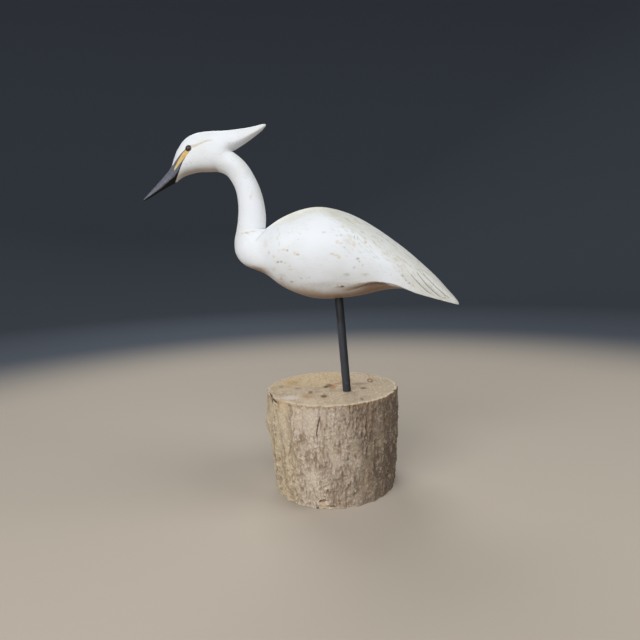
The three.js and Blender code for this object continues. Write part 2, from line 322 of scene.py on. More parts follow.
def body_section(x, back, belly, half_width, widest, edge, proud):
    """A section of the body: arched back, flank to the wing's edge, the ledge under it, belly"""
    deep = back - belly
    wide = back - widest
    angle = np.linspace(0, math.pi / 2, 56, endpoint=False)
    arch = 1 + back_ridge * proud
    top = [wide * (1 - np.cos(angle))**(1 / arch), half_width * np.sin(angle)**arch]
    flank = np.linspace(0, 0.5, 22)
    ledge = np.linspace(0.5, 0.6, 6)[1:]
    under = np.linspace(0.6, 1, 24)[1:]
    down = np.concatenate([flank, ledge, under])
    smooth = [wide + (deep - wide) * np.sin(down * math.pi / 2), half_width * np.cos(down * math.pi / 2)]
    edge_width = 0.98 * half_width
    lip = min(wing_lip, 0.3 * half_width)
    inner = edge_width - lip
    edge_depth = back - edge
    belly_angle = (under - 0.6) / 0.4 * math.pi / 2
    stepped = [
        np.concatenate([
            wide + (edge_depth - wide) * flank / 0.5,
            np.full(len(ledge), edge_depth),
            edge_depth + (deep - edge_depth) * np.sin(belly_angle),
        ]),
        np.concatenate([
            half_width + (edge_width - half_width) * (flank / 0.5)**2,
            edge_width - lip * (ledge - 0.5) / 0.1,
            inner * np.cos(belly_angle),
        ]),
    ]
    low = [np.array(a) + (np.array(b) - np.array(a)) * proud for a, b in zip(smooth, stepped)]
    half = np.array([np.concatenate([top[0], low[0]]), np.concatenate([top[1], low[1]])])
    half[1, -1] = 0
    return both_halves((x, back), (x, belly), half)


def skin_of(name, rings):
    """A closed skin through rings of the same number of points, in millimetres"""
    rings = np.array(rings)
    count, around = rings.shape[:2]
    points = np.concatenate([rings.reshape(-1, 3), rings[[0, -1]].mean(axis=1)])
    pole = count * around
    last = pole - around
    pairs = [(k, (k + 1) % around) for k in range(around)]
    faces = bands(count, around)
    faces += [(pole, b, a) for a, b in pairs]
    faces += [(pole + 1, last + a, last + b) for a, b in pairs]
    piece = new_piece(name, points * mm, faces)
    face_outwards(piece.data)
    return piece


def face_outwards(mesh):
    shape = bmesh.new()
    shape.from_mesh(mesh)
    bmesh.ops.remove_doubles(shape, verts=shape.verts, dist=0.02 * mm)
    bmesh.ops.recalc_face_normals(shape, faces=shape.faces)
    shape.to_mesh(mesh)
    shape.free()


def plain_mesh(piece):
    """Turns a piece and its modifiers into one plain mesh"""
    made = bpy.data.meshes.new_from_object(piece.evaluated_get(bpy.context.evaluated_depsgraph_get()))
    piece.modifiers.clear()
    piece.data = made


def worked(piece, tool, operation):
    """Joins a tool's shape to a piece or cuts it out, and takes the tool away"""
    cut = piece.modifiers.new("cut", "BOOLEAN")
    cut.operation = operation
    cut.solver = "EXACT"
    cut.object = tool
    plain_mesh(piece)
    bpy.data.objects.remove(tool)


def points_of(mesh, what="co"):
    """The places of a mesh's points, or what else is asked of them"""
    values = np.empty(len(mesh.vertices) * 3)
    mesh.vertices.foreach_get(what, values)
    return values.reshape(-1, 3)


def set_points(mesh, co):
    mesh.vertices.foreach_set("co", co.ravel())
    mesh.update()


def search_tree(mesh):
    return BVHTree.FromPolygons(points_of(mesh).tolist(), [tuple(face.vertices) for face in mesh.polygons])


def sanded(mesh, share, rounds):
    """Moves each point towards the middle of its neighbours, by its own share, again and again"""
    edges = np.empty(len(mesh.edges) * 2, int)
    mesh.edges.foreach_get("vertices", edges)
    ends = np.concatenate([edges.reshape(-1, 2), edges.reshape(-1, 2)[:, ::-1]])
    co = points_of(mesh)
    joined = np.bincount(ends[:, 0], minlength=len(co))[:, None]
    for _ in range(rounds):
        total = np.stack([np.bincount(ends[:, 0], co[ends[:, 1], i], len(co)) for i in range(3)], 1)
        co += share[:, None] * (total / joined - co)
    set_points(mesh, co)


def blended(piece, other, reach, fill, keep):
    """Joins two carved shapes with a hollow, sanded corner; keep is 0 where it stays sharp"""
    skins = [search_tree(shape.data) for shape in (piece, other)]
    worked(piece, other, "UNION")
    co = points_of(piece.data)
    found = [[skin.find_nearest(Vector(p)) for p in co] for skin in skins]
    apart = np.max([[spot[3] for spot in row] for row in found], axis=0) / mm
    facing = [np.array([tuple(spot[1]) for spot in row]) for row in found]
    corner = np.clip(1 - (facing[0] * facing[1]).sum(1), 0, 1)
    near = np.clip(1 - apart / reach, 0, 1) * keep(co / mm)
    set_points(piece.data, co + points_of(piece.data, "normal") * (corner * fill * mm * near**2)[:, None])
    sanded(piece.data, 0.5 * np.clip(1.6 * near, 0, 1), 90)


def hand_carved(mesh, size, depth):
    """Leaves the slight unevenness of hand work on a piece"""
    co = points_of(mesh)
    swell = np.array([noise.noise(Vector(p) / size) for p in co])
    set_points(mesh, co + points_of(mesh, "normal") * (swell * depth)[:, None])


def keep_values(mesh, **values):
    """Keeps numbers at each point of a piece, for its finish"""
    for name, numbers in values.items():
        kept = mesh.attributes.new(name, "FLOAT", "POINT")
        kept.data.foreach_set("value", np.asarray(numbers, np.float32))


def kept(name):
    """A number that was kept on the piece, for its finish"""
    return place.node("ShaderNodeAttribute", {"attribute_name": name}, {}, "Fac")


def inside_box_of(piece, node):
    """Keeps a piece's points inside the box of the solid that it stands for"""
    low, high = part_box(node)
    set_points(piece.data, np.clip(points_of(piece.data), np.array(low), np.array(high)))


def from_line(points, path):
    """Distance of points from an open line in the same plane, and how far along it they are"""
    points = np.asarray(points, float)
    path = np.asarray(path, float)
    start, step = path[:-1], np.diff(path, axis=0)
    offset = points[:, None] - start
    t = np.clip((offset * step).sum(2) / (step**2).sum(1), 0, 1)
    away = np.linalg.norm(offset - t[..., None] * step, axis=2)
    nearest = away.argmin(1)
    pick = np.arange(len(points))
    return away[pick, nearest], (nearest + t[pick, nearest]) / len(step)


body_middles = [[x, (back + belly) / 2] for x, back, belly, *_ in body_stations]
tail_from = 8
body_spacing = [1.2] * tail_from + [0.45] * (len(body_stations) - 1 - tail_from)
body_rows = between_stations(body_stations, places_along(body_middles, body_spacing))
body = skin_of("body", [body_section(*row) for row in body_rows])
breast = skin_of("breast", round_rings(breast_stations, 1.0))
seam_z = 281.0


def below_seam(co):
    return (co[:, 0] < -30) * np.clip((seam_z - co[:, 2]) / 4, 0.03, 1)


blended(body, breast, reach=8, fill=1.2, keep=below_seam)
hand_carved(body.data, 26 * mm, 0.3 * mm)

# The hole for the leg, drilled from below
leg_radius = 4.4
leg_foot = Vector((16, bird_y, 110))
leg_lean = math.radians(-3)
leg_in_log = 32
leg_in_body = 24
bare_leg = 100


def leg_shape(name, radius, low, high, turns, rows):
    """A round bar along the leg's leaning line, from low to high above the log"""
    tilt = Matrix.Rotation(leg_lean, 3, "Y")
    rings = []
    for z in np.linspace(low, high, rows):
        circle = [Vector((radius * math.cos(a), radius * math.sin(a), z)) for a in full_turn(turns)]
        rings.append([tilt @ point + leg_foot for point in circle])
    return skin_of(name, rings)


drill = leg_shape("drill", leg_radius + 0.05, 60, bare_leg + leg_in_body + 0.3, 64, 2)
worked(body, drill, "DIFFERENCE")

# Cut lines between the tail feathers, on both sides: start, end and sag, seen from the side. The
# first is only a row of nicks. A soft crease runs from the neck down over the shoulder.
feather_lines = [
    ((73.4, 232), (88.1, 218.6), 1.4),
    ((82.4, 233.5), (109.5, 207.5), 2.4),
    ((89.8, 234.9), (122, 203.5), 4.6),
    ((96.3, 233.8), (131, 201.5), 2.8),
]
feather_width = 0.8
feather_depth = 0.9
crease = [(-60, 283.5), (-62.7, 281.5), (-66.2, 278), (-70, 273.5), (-73.4, 269.9)]
crease_width = 2.2
crease_depth = 0.35
wing_edge = [(-12, 216), (0, 220), (11.4, 223.2), (21.3, 225.4), (29.9, 227.2), (41.6, 228.4),
             (47.7, 228.1), (54.9, 226.6), (62.1, 223.6), (69.4, 219.9), (90, 206)]
co = points_of(body.data)
facing = points_of(body.data, "normal")
side_view = co[:, [0, 2]] / mm
outer = facing[:, 1] * (co[:, 1] - bird_y * mm) > 0
cut = np.zeros(len(co))
for row, (start, end, sag) in enumerate(feather_lines):
    t = np.linspace(0, 1, 30)[:, None]
    middle = (np.array(start) + np.array(end)) / 2 - sag
    path = np.array(start) * (1 - t)**2 + 2 * middle * t * (1 - t) + np.array(end) * t**2
    away, along = from_line(side_view, path)
    fade = np.clip(0.5 + 12 * along, 0, 1) * np.clip(3.2 * (1 - along), 0, 1)
    if row == 0:
        fade = fade * np.clip(0.45 + 0.9 * np.sin(23 * along + 1.2), 0, 0.8)
    cut = np.maximum(cut, np.clip(1 - away / feather_width, 0, 1) * fade * outer)
away, along = from_line(side_view, crease)
creased = np.clip(1 - away / crease_width, 0, 1) * np.clip(4 * (1 - along), 0, 1) * outer
pressed = cut * feather_depth + creased**1.5 * crease_depth
set_points(body.data, co - facing * (pressed * mm)[:, None])
inside_box_of(body, "body")
body.data.shade_smooth()
co = points_of(body.data)
feather_rows, _ = from_line(side_view, [(92, 236), (101, 222), (119, 209)])
under_wing = np.interp(side_view[:, 0], *np.transpose(wing_edge)) - side_view[:, 1]
back_line = np.interp(co[:, 0] / mm, *np.transpose(body_stations)[:2])
keep_values(
    body.data, cut=cut, creased=creased,
    faces_down=-points_of(body.data, "normal")[:, 2],
    under_wing=np.where(side_view[:, 0] < 82, under_wing, -9) * mm,
    below_back=back_line * mm - co[:, 2],
    feathered=np.clip(1.6 - feather_rows / 5.5, 0, 1) * (co[:, 0] > 84 * mm))

tan, ochre, rust = (0.50, 0.37, 0.20), (0.62, 0.51, 0.31), (0.40, 0.26, 0.12)
olive, grey, salmon, umber = (0.34, 0.32, 0.21), (0.55, 0.54, 0.49), (0.64, 0.54, 0.44), (0.30, 0.24, 0.18)
# Worn spots in the paint on the side that shows: place, length and height, colour, strength
body_spots = [
    (-39.4, -53.2, 261.2, 1.5, 1.2, rust, 0.9), (-42.6, -52.1, 262.2, 2.6, 0.9, ochre, 0.8),
    (-29, -55.9, 256.8, 1.9, 1, rust, 0.8), (-31.8, -55.2, 257.9, 2.3, 1.5, ochre, 0.6),
    (-49.2, -49.1, 250.2, 1.8, 1.1, olive, 0.95), (-45.6, -50.6, 250.5, 1.5, 1.1, olive, 0.8),
    (-42.2, -51.4, 249.3, 1.3, 0.8, grey, 0.8), (-52.9, -48.6, 255.8, 1.3, 1.7, ochre, 0.6),
    (-57.6, -46.7, 259.7, 1.1, 1.6, olive, 0.4), (-47.4, -50.8, 261.3, 1.3, 1.3, ochre, 0.5),
    (-60.8, -43.4, 268.6, 2.6, 4.2, salmon, 0.4), (-48.7, -47.6, 273.4, 1.2, 2.6, ochre, 0.5),
    (-47.1, -49.9, 268.1, 1, 2.4, grey, 0.6), (-48, -43, 281.6, 1.2, 2.2, grey, 0.5),
    (-46.3, -46.7, 277.2, 0.9, 1.8, ochre, 0.5), (-36.6, -43.7, 230.2, 1.7, 1.1, umber, 0.8),
    (-37, -51.2, 242.6, 2.8, 1, salmon, 0.6), (-37.2, -52.2, 245.9, 1.8, 0.8, grey, 0.6),
    (-54, -43.6, 243.1, 2, 2.4, ochre, 0.45), (-46.3, -44, 237, 4.5, 2, grey, 0.4),
    (-47.4, -41.3, 233.6, 1.3, 1.2, umber, 0.55), (-26.9, -49.8, 233.4, 1.7, 1.3, grey, 0.7),
    (-2.9, -54.6, 277.2, 2.4, 1, olive, 0.5), (3.7, -58.5, 256.1, 1.8, 0.9, rust, 0.5),
    (7.2, -58.2, 254.6, 3.2, 1.3, ochre, 0.6), (10.4, -58.1, 252.4, 2, 1.8, ochre, 0.65),
    (9.4, -56.4, 267.6, 2, 1.8, salmon, 0.75), (13.2, -56.3, 266, 2.2, 0.8, grey, 0.75),
    (13.7, -53.8, 273.9, 1.4, 1.6, olive, 0.5), (9.6, -54.7, 273.5, 1.3, 1.3, grey, 0.6),
    (16.5, -56.7, 262.1, 1.2, 1.2, grey, 0.7), (26.7, -51, 271.2, 0.6, 2.8, olive, 0.7),
    (29.7, -50.3, 270.3, 0.7, 2.2, umber, 0.6), (22.6, -53.1, 270.3, 1.8, 3.4, ochre, 0.4),
    (25.9, -53.6, 264.8, 1.8, 2.8, ochre, 0.6), (31.1, -52, 265.1, 1.2, 1, grey, 0.8),
    (37.6, -48.7, 266.5, 1.4, 1.6, tan, 0.7), (28.9, -55.5, 250.6, 1.6, 1.2, umber, 0.75),
    (30.2, -55.5, 247.9, 0.9, 1.5, umber, 0.6), (32.5, -54.2, 256.4, 1.2, 1, grey, 0.7),
    (33.3, -54.7, 243.8, 1.1, 1.8, grey, 0.6), (25.3, -55.7, 242.2, 1.4, 1.2, olive, 0.5),
    (17.4, -54.6, 235.6, 3.4, 1.6, olive, 0.5), (36.2, -52.7, 234.9, 3.6, 1.6, tan, 0.5),
    (45.4, -51.5, 251.4, 1.2, 1.1, grey, 0.6), (61, -44, 254.4, 2.6, 1.4, grey, 0.5),
    (73.5, -43.8, 241.7, 1.6, 1.1, tan, 0.5), (70.1, -46.3, 236.7, 1.6, 1.2, grey, 0.5),
    (73.6, -45.7, 232.3, 1.8, 1.5, olive, 0.5), (75.4, -45.2, 229.6, 1.9, 1.6, ochre, 0.6),
    (77.6, -44.6, 226.8, 1.9, 1.3, tan, 0.5), (80.4, -44, 224.2, 2.2, 1.2, umber, 0.35),
    (83.6, -43.4, 221.6, 2.2, 1.2, salmon, 0.6), (28.4, -38.5, 286.5, 2.2, 1.2, ochre, 0.6),
    (-6, -46, 226.5, 17, 3.6, (0.42, 0.375, 0.31), 0.5),
    (22, -50, 224.5, 12, 3, (0.4, 0.34, 0.27), 0.5), (-84.2, -33, 280.2, 2.4, 0.8, ochre, 0.7),
    (-80.3, -34.6, 280.6, 2.4, 1, tan, 0.8), (-78.4, -34.4, 280, 1, 1.4, ochre, 0.5),
    (-74.2, -34.5, 281.6, 3.2, 0.6, grey, 0.8), (11, -47.7, 223.2, 4.6, 1.3, umber, 0.6),
    (13.6, -47.9, 223.6, 1.9, 1.2, (0.12, 0.07, 0.035), 1.1),
]


def stretched(long=1.0, turn=0.0, wide=1.0):
    """The place on a piece for a pattern that is drawn out some times, and turned in the side view"""
    return place.node("ShaderNodeMapping", {"vector_type": "TEXTURE"}, {
        "Vector": place, "Rotation": (0, turn, 0), "Scale": (long, wide, 1)})


def cloud(scale, detail=2.0, roughness=0.5, *stretch):
    """Soft noise on a piece"""
    where = stretched(*stretch)
    return where.node("ShaderNodeTexNoise", {}, {
        "Vector": where, "Scale": scale, "Detail": detail, "Roughness": roughness})


def cells(scale, *stretch):
    """Distance from the middles of scattered cells on a piece"""
    where = stretched(*stretch)
    return where.node("ShaderNodeTexVoronoi", {}, {"Vector": where, "Scale": scale}, "Distance")


def white_paint(underside_shade_strength):
    """The rubbed white paint, with painted shade on its underside: its colour, roughness and height"""
    patches = cloud(30, 3)
    strokes = cloud(620, 2, 0.5, 4.5)
    grain = cloud(1000, 3, 0.6, 6.5)
    # small flecks where the paint has come off, in uneven drifts
    drift = rises(cloud(38, 2), 0.48, 0.64) * rises(cloud(170, 2), 0.46, 0.6)
    fleck = (1 - rises(cells(330), 0.10, 0.36)) * drift
    # painted shade on the underside, dull brown, deepest where the faces point straight down
    painted_underside_shade = rises(kept("faces_down") + 0.3 * (patches - 0.5) + 0.15 * (strokes - 0.5), 0.54, 0.98)
    deepest_painted_shade = rises(kept("faces_down") + 0.1 * (patches - 0.5), 0.74, 0.98)
    colour = laid_over(
        (0.775, 0.80, 0.835),
        ((0.73, 0.745, 0.75), rises(patches, 0.42, 0.7)),
        ((0.62, 0.61, 0.56), rises(strokes, 0.54, 0.8) * rises(patches, 0.35, 0.6) * 0.4),
        ((0.52, 0.46, 0.36), fleck * 0.5),
        ((0.40, 0.28, 0.175), painted_underside_shade * underside_shade_strength),
        ((0.235, 0.143, 0.082), deepest_painted_shade * underside_shade_strength * 0.92))
    roughness = 0.42 + 0.15 * patches + 0.12 * strokes
    height = 0.35 * grain + 0.65 * strokes - 0.9 * fleck
    return colour, roughness, height


def oval(middle, half):
    """Distance from the middle of an oval, 1 at its edge; its places and half sizes in millimetres"""
    scale = [1 / (size * mm) for size in half]
    shift = [-at / size for at, size in zip(middle, half)]
    return on_vectors("LENGTH", on_vectors("MULTIPLY_ADD", place, scale, shift))


def spotted(colour, spots, ripple):
    """Worn spots laid over a colour"""
    uneven = 2.6 * (ripple - 0.5)
    for x, y, z, long, high, spot_colour, strength in spots:
        spot = 1 - rises(oval((x, y, z), (long, 9, high)) + uneven, 0.1, 1.5)
        colour = laid_over(colour, (spot_colour, spot * (0.85 * strength)))
    return colour


body_finish, body_shader, place = new_finish("white paint on the body")
# white paint on the body, with strong painted shade on its underside
colour, roughness, height = white_paint(0.88)
tailward = along_axis("X")
# painted shade, dark brown, on the ledge under the wings' edges behind the leg
under_wing = kept("under_wing") + 0.003 * (cloud(90, 3) - 0.5)
painted_shade_under_wing = rises(under_wing, 0.0, 1.6 * mm) * rises(tailward, 0.006, 0.044)
# a thin beige glaze, rubbed off the flanks, is left along the back and on the tail; it also darkens the top
# of the back as painted shade
down_the_back = math.radians(38)
wavy = cloud(60, 4, 0.6) - 0.5
streaky = cloud(330, 3, 0.6, 4.0, down_the_back)
brushed = cloud(520, 3, 0.65, 5.0, down_the_back + 0.25)
behind = tailward.sum("MAXIMUM", tailward, 0.0)
glaze_and_painted_shade = 1 - rises(kept("below_back") - 0.3 * behind + 0.018 * wavy, 0.002, 0.015)
glaze_and_painted_shade = glaze_and_painted_shade * rises(tailward, -0.062, -0.04) * (1 - 0.45 * rises(tailward, 0.005, 0.04))
on_back = rises(tailward + 0.03 * wavy, -0.005, 0.03)
on_back = on_back * (1 - rises(kept("below_back") + 0.03 * wavy, 0.018, 0.05))
colour = laid_over(
    colour,
    ((0.23, 0.133, 0.076), painted_shade_under_wing * 0.93),
    ((0.55, 0.535, 0.44), glaze_and_painted_shade * (0.35 + 0.9 * streaky)),
    ((0.63, 0.61, 0.55), rises(tailward + 0.03 * wavy, 0.05, 0.10) * 0.5),
    ((0.50, 0.475, 0.365), rises(streaky, 0.53, 0.68) * on_back * 0.6),
    ((0.44, 0.42, 0.335), rises(brushed, 0.55, 0.66) * on_back * 0.65),
    ((0.42, 0.41, 0.36), rises(cloud(760, 1), 0.55, 0.68) * kept("feathered") * 0.6))
colour = laid_over(
    spotted(colour, body_spots, cloud(780, 3, 0.7, 1.5)),
    # painted shade along the soft crease over the shoulder
    ((0.55, 0.53, 0.47), rises(kept("creased"), 0.2, 1.0) * 0.45),
    ((0.13, 0.125, 0.11), rises(kept("cut"), 0.2, 0.8) * 0.6))
feed(body_shader, colour, roughness, height, 0.12 * mm)
body.data.materials.clear()
body.data.materials.append(body_finish)
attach(body, "root")
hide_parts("body")

# The head and neck: one carving with the crest and the bill, glued on the body at the foot of
# the neck. The bill, the bare skin before the eye and the line behind it are painted.
neck_stations = [
    [-62.5, 285, -92.7, 282, 14.3],
    [-61.6, 296, -90.4, 294.5, 13.2],
    [-62.4, 309, -89.1, 308.5, 12.6],
    [-65.3, 322.5, -90.2, 321.5, 12.2],
    [-70, 335.5, -93.4, 331, 12.1],
    [-77.4, 348.8, -98.9, 339.2, 12.4],
    [-87.2, 359, -106.8, 343.6, 12.9],
    [-99, 366.5, -117, 346.8, 12.9],
    [-113, 372, -130, 349, 12],
]
# Bill's tip to crest's tip: crown, throat, half width, place of the widest line, fullness
head_stations = [
    [-185.6, 318.8, -185.2, 317.5, 0.7, 0.6, 0.5],
    [-179.2, 325.2, -177.2, 321, 2.1, 0.6, 0.38],
    [-171.2, 332.6, -167, 326.5, 3.8, 0.6, 0.34],
    [-162.4, 341.2, -158, 331.2, 5.7, 0.6, 0.34],
    [-154.8, 350, -151.3, 334.4, 7.8, 0.6, 0.38],
    [-151, 358.2, -144.9, 339, 10.2, 0.6, 0.48],
    [-146.4, 367.2, -137, 342, 12.3, 0.6, 0.55],
    [-138.2, 376.5, -127, 343.5, 14, 0.6, 0.58],
    [-127, 381.6, -116, 343.1, 14.8, 0.6, 0.6],
    [-113, 383.1, -106, 345, 14.4, 0.6, 0.6],
    [-99.5, 383.3, -96.5, 360.5, 12.2, 0.62, 0.58],
    [-88, 384.1, -88.4, 365.4, 9.8, 0.66, 0.56],
    [-76.5, 385.2, -78.4, 371, 7.6, 0.68, 0.56],
    [-67, 386.8, -69, 377, 5.6, 0.68, 0.56],
    [-60, 388.3, -61.8, 382, 3.6, 0.66, 0.55],
    [-56.8, 388, -57.6, 385.9, 1.3, 0.6, 0.55],
]

head = skin_of("head_and_neck", round_rings(head_stations, 0.6))
neck = skin_of("neck", round_rings(neck_stations, 0.9))
head_skin = search_tree(head.data)


def away_from_notch(co):
    """The join is blended on the cheeks and the throat, and stays sharp behind, under the crest"""
    return 1 - np.clip((co[:, 0] + 99) / 8, 0, 1) * np.clip((co[:, 2] - 352) / 6, 0, 1) * 0.95


blended(head, neck, reach=11, fill=2.2, keep=away_from_notch)
hand_carved(head.data, 22 * mm, 0.25 * mm)

eye_radius = 3.0
eye_proud = 1.5
eye_at = (-133.2, 364.9)
eyes = {}
for name, side in (("right_eye", 1), ("left_eye", -1)):
    start = Vector((eye_at[0], bird_y + side * 200, eye_at[1])) * mm
    hit = head_skin.ray_cast(start, Vector((0, -side, 0)))[0]
    eyes[name] = hit / mm + Vector((0, side * (eye_proud - eye_radius), 0))


def ball(name, centre, radius, turns, rows):
    """A ball with its poles to the left and right"""
    rings = []
    for tilt in np.linspace(0, math.pi, rows)[1:-1]:
        rings.append([centre + radius * Vector((
            math.sin(tilt) * math.cos(a), math.cos(tilt), math.sin(tilt) * math.sin(a)))
            for a in full_turn(turns)])
    return skin_of(name, rings)


for centre in eyes.values():
    worked(head, ball("socket", centre, eye_radius + 0.06, 48, 25), "DIFFERENCE")
inside_box_of(head, "head_and_neck")
head.data.shade_smooth()

# Edges of the painted areas, seen from the side
bill_ridge = [(-186, 318), (-178.1, 322.1), (-172.6, 325.2), (-167.1, 328.3), (-161.3, 332.3),
              (-155.6, 336.1), (-149.9, 339.9), (-145.4, 344.7), (-141.9, 350.5), (-138.1, 355.7),
              (-134.1, 360.3)]
bill_rear = [(-152.8, 332.6), (-151.4, 334.7), (-148.2, 339.1), (-143.7, 345.8), (-139.5, 352.7),
             (-135.3, 358), (-132.3, 361.3)]
forehead = [(-135, 365.4), (-137.1, 363.7), (-142.1, 359.6), (-146.9, 354.8), (-151, 350.6),
            (-154.4, 350.6), (-160, 356)]
skin_front = [(-134.5, 364.5), (-136.4, 363.2), (-138.8, 361.2), (-142.3, 357.1), (-146.3, 351.8),
              (-150, 346.4)]
skin_rear = [(-149.4, 344.8), (-147.4, 346.5), (-144, 349.9), (-139.9, 353.8), (-135.9, 357.3),
             (-132.5, 360.8)]
painted_areas = {
    "bill": bill_rear + forehead + [(-195, 330), (-195, 312), (-160, 322)],
    "dark_bill": bill_ridge + bill_rear[:0:-1] + [(-160, 322), (-195, 310)],
    "bare_skin": skin_front + skin_rear,
}


def inside(points, outline):
    """Distance from an outline, more than 0 inside it and less outside"""
    outline = np.array(outline, float)
    away, _ = from_line(points, np.concatenate([outline, outline[:1]]))
    x, z = points[:, 0], points[:, 1]
    crossed = np.zeros(len(points), bool)
    for (ax, az), (bx, bz) in zip(outline, np.roll(outline, -1, 0)):
        spans = (az > z) != (bz > z)
        slope = (bx - ax) / (bz - az if bz != az else 1)
        crossed ^= spans & (x < ax + (z - az) * slope)
    return np.where(crossed, away, -away)


co = points_of(head.data)
side_view = co[:, [0, 2]] / mm
before_crest = np.clip((-99 - side_view[:, 0]) / 9, 0, 1)
eye_line = [(-130, 366.6), (-127.2, 366.9), (-122.6, 368.5), (-118.2, 370.2), (-114.7, 371.7),
            (-110.8, 372), (-106.4, 370.6)]
off_line, along_line = from_line(side_view, eye_line)
keep_values(
    head.data,
    faces_down=-points_of(head.data, "normal")[:, 2] * before_crest,
    from_eye=np.hypot(*(side_view - eye_at).T) * mm,
    eye_line=(0.75 + 0.9 * np.clip(1 - 2.2 * along_line, 0, 1) - off_line) * mm,
    eye_line_along=along_line,
    skin_front=from_line(side_view, skin_front)[0] * mm,
    from_nape=from_line(side_view, [row[:2] for row in neck_stations[:7]])[0] * mm,
    **{name: inside(side_view, outline) * mm for name, outline in painted_areas.items()})

# Worn spots and tints on the side that shows: place, length and height, colour, strength
head_spots = [
    (-84.2, -33, 281.6, 2.4, 0.8, ochre, 0.6), (-80.3, -34.6, 281.9, 2.4, 0.9, tan, 0.7),
    (-74.2, -34.5, 283.2, 3.6, 0.6, grey, 0.7), (-74.4, -32, 315.6, 1.3, 2.2, grey, 0.6),
    (-73.1, -31.7, 319.8, 1.2, 4, salmon, 0.25), (-81.3, -29.6, 346.6, 4, 3.4, ochre, 0.3),
    (-77.2, -30, 338.6, 3, 5, olive, 0.16), (-93, -31, 362, 4, 1.2, tan, 0.45),
]
head_finish, head_shader, place = new_finish("paint on the head and neck")
# white paint on the head and neck, with weaker painted shade under the throat and bill
colour, roughness, height = white_paint(0.4)
uneven = cloud(60, 4, 0.6)
nape = (1 - rises(kept("from_nape") + 0.008 * (uneven - 0.5), 0.001, 0.007)) * rises(uneven, 0.35, 0.6)
colour = laid_over(colour, ((0.60, 0.59, 0.52), nape * 0.35))
colour = spotted(colour, head_spots, cloud(640, 3, 0.65))
wobble = 0.0007 * (cloud(420, 3) - 0.5)


def area(name, soft):
    """1 inside a painted area, with an edge of that softness"""
    return rises(kept(name) + wobble, -soft * mm, soft * mm)


up = along_axis("Z")
along = kept("eye_line_along")
line_colour = laid_over((0.58, 0.48, 0.33), ((0.50, 0.45, 0.32), rises(along, 0.1, 0.3)))
bill_grey = laid_over((0.155, 0.163, 0.198), ((0.105, 0.112, 0.137), rises(cloud(500, 4, 0.65), 0.35, 0.7)))
black = area("dark_bill", 0.3)
skin_line = (1 - rises(kept("skin_front") + wobble, 0.45 * mm, 1.1 * mm)) * area("bill", 0.6)
orange_up = rises(cloud(300, 2) + 12 * (up - 0.357), 0.42, 0.62)
yellow = laid_over((0.64, 0.465, 0.17), ((0.60, 0.35, 0.09), orange_up))
yellow = laid_over((0.62, 0.52, 0.33), (yellow, rises(up, 0.3465, 0.3505)))
# a near-black ring painted on the head just round each bead, wider than its socket
dark_ring_round_eye = 1 - rises(kept("from_eye") + wobble, 3.0 * mm, 3.6 * mm)
colour = laid_over(
    colour,
    (line_colour, area("eye_line", 0.8) * (1 - rises(along, 0.66, 1.0)) * 0.75),
    (bill_grey, area("bill", 0.35)),
    ((0.003, 0.003, 0.003), black),
    ((0.055, 0.055, 0.062), skin_line * 0.85),
    (yellow, area("bare_skin", 0.3)),
    ((0.035, 0.022, 0.018), dark_ring_round_eye * 0.9))
painted = area("bill", 0.4)
feed(head_shader, colour, roughness - 0.08 * painted + 0.3 * black, height * (1 - 0.6 * painted), 0.12 * mm)
head_shader.inputs["Specular IOR Level"].default_value = 0.3
head.data.materials.clear()
head.data.materials.append(head_finish)
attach(head, "root")
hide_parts("head_and_neck")

# The eyes: two dark brown glass beads, one on each side of the head. They are pressed and glued
# into round sockets, so that half of each bead stands out.
eye_finish, eye_shader, place = new_finish("dark glass bead")
for name, centre in eyes.items():
    eye = ball(name, centre, eye_radius, 56, 33)
    eye.name = name + "_bead"
    eye.data.shade_smooth()
    inside_box_of(eye, name)
    eye.data.materials.append(eye_finish)
    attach(eye, "root")
    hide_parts(name)
seen = on_vectors("MULTIPLY", place, (1, 0, 1))
from_middle = on_vectors("DISTANCE", seen, (eye_at[0] * mm, 0, eye_at[1] * mm))
brown = laid_over(
    (0.008, 0.005, 0.005),
    ((0.055, 0.026, 0.015), rises(from_middle, 1.0 * mm, 1.9 * mm)),
    ((0.012, 0.007, 0.005), rises(from_middle, 2.2 * mm, 2.8 * mm)))
feed(eye_shader, brown, 0.22)
eye_shader.inputs["Specular IOR Level"].default_value = 0.45

# The leg: a round dowel, painted charcoal, glued into the belly and into the log. The paint is
# satin and lies in faint strokes along it.
leg = leg_shape("leg_dowel", leg_radius, -leg_in_log, bare_leg + leg_in_body, 64, 160)
hand_carved(leg.data, 9 * mm, 0.12 * mm)
inside_box_of(leg, "leg")
leg.data.shade_smooth()
# which way each point faces, left or right, for the painted light and shade on the leg
keep_values(leg.data, to_right=points_of(leg.data, "normal")[:, 0])
leg_finish, leg_shader, place = new_finish("charcoal paint")
lengthwise = on_vectors("MULTIPLY", place, (1, 1, 0.06))
strokes = place.node("ShaderNodeTexNoise", {}, {"Vector": lengthwise, "Scale": 900.0, "Detail": 3.0})
blots = cloud(120, 3)
charcoal = laid_over(
    (0.017, 0.021, 0.028),
    ((0.032, 0.038, 0.050), rises(strokes, 0.35, 0.7)),
    ((0.05, 0.056, 0.066), rises(blots, 0.6, 0.75) * 0.6),
    # painted light on the left side, painted shade on the right side, and painted shadow close under the
    # belly
    ((0.052, 0.060, 0.078), (1 - rises(kept("to_right"), -0.9, 0.0)) * 0.55),
    ((0.006, 0.007, 0.009), rises(kept("to_right"), 0.0, 0.85) * 0.85),
    ((0.006, 0.007, 0.009), rises(along_axis("Z"), 177 * mm, 192 * mm) * 0.8))
feed(leg_shader, charcoal, 0.36 + 0.2 * blots, strokes, 0.08 * mm)
leg.data.materials.append(leg_finish)
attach(leg, "root")
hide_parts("leg")

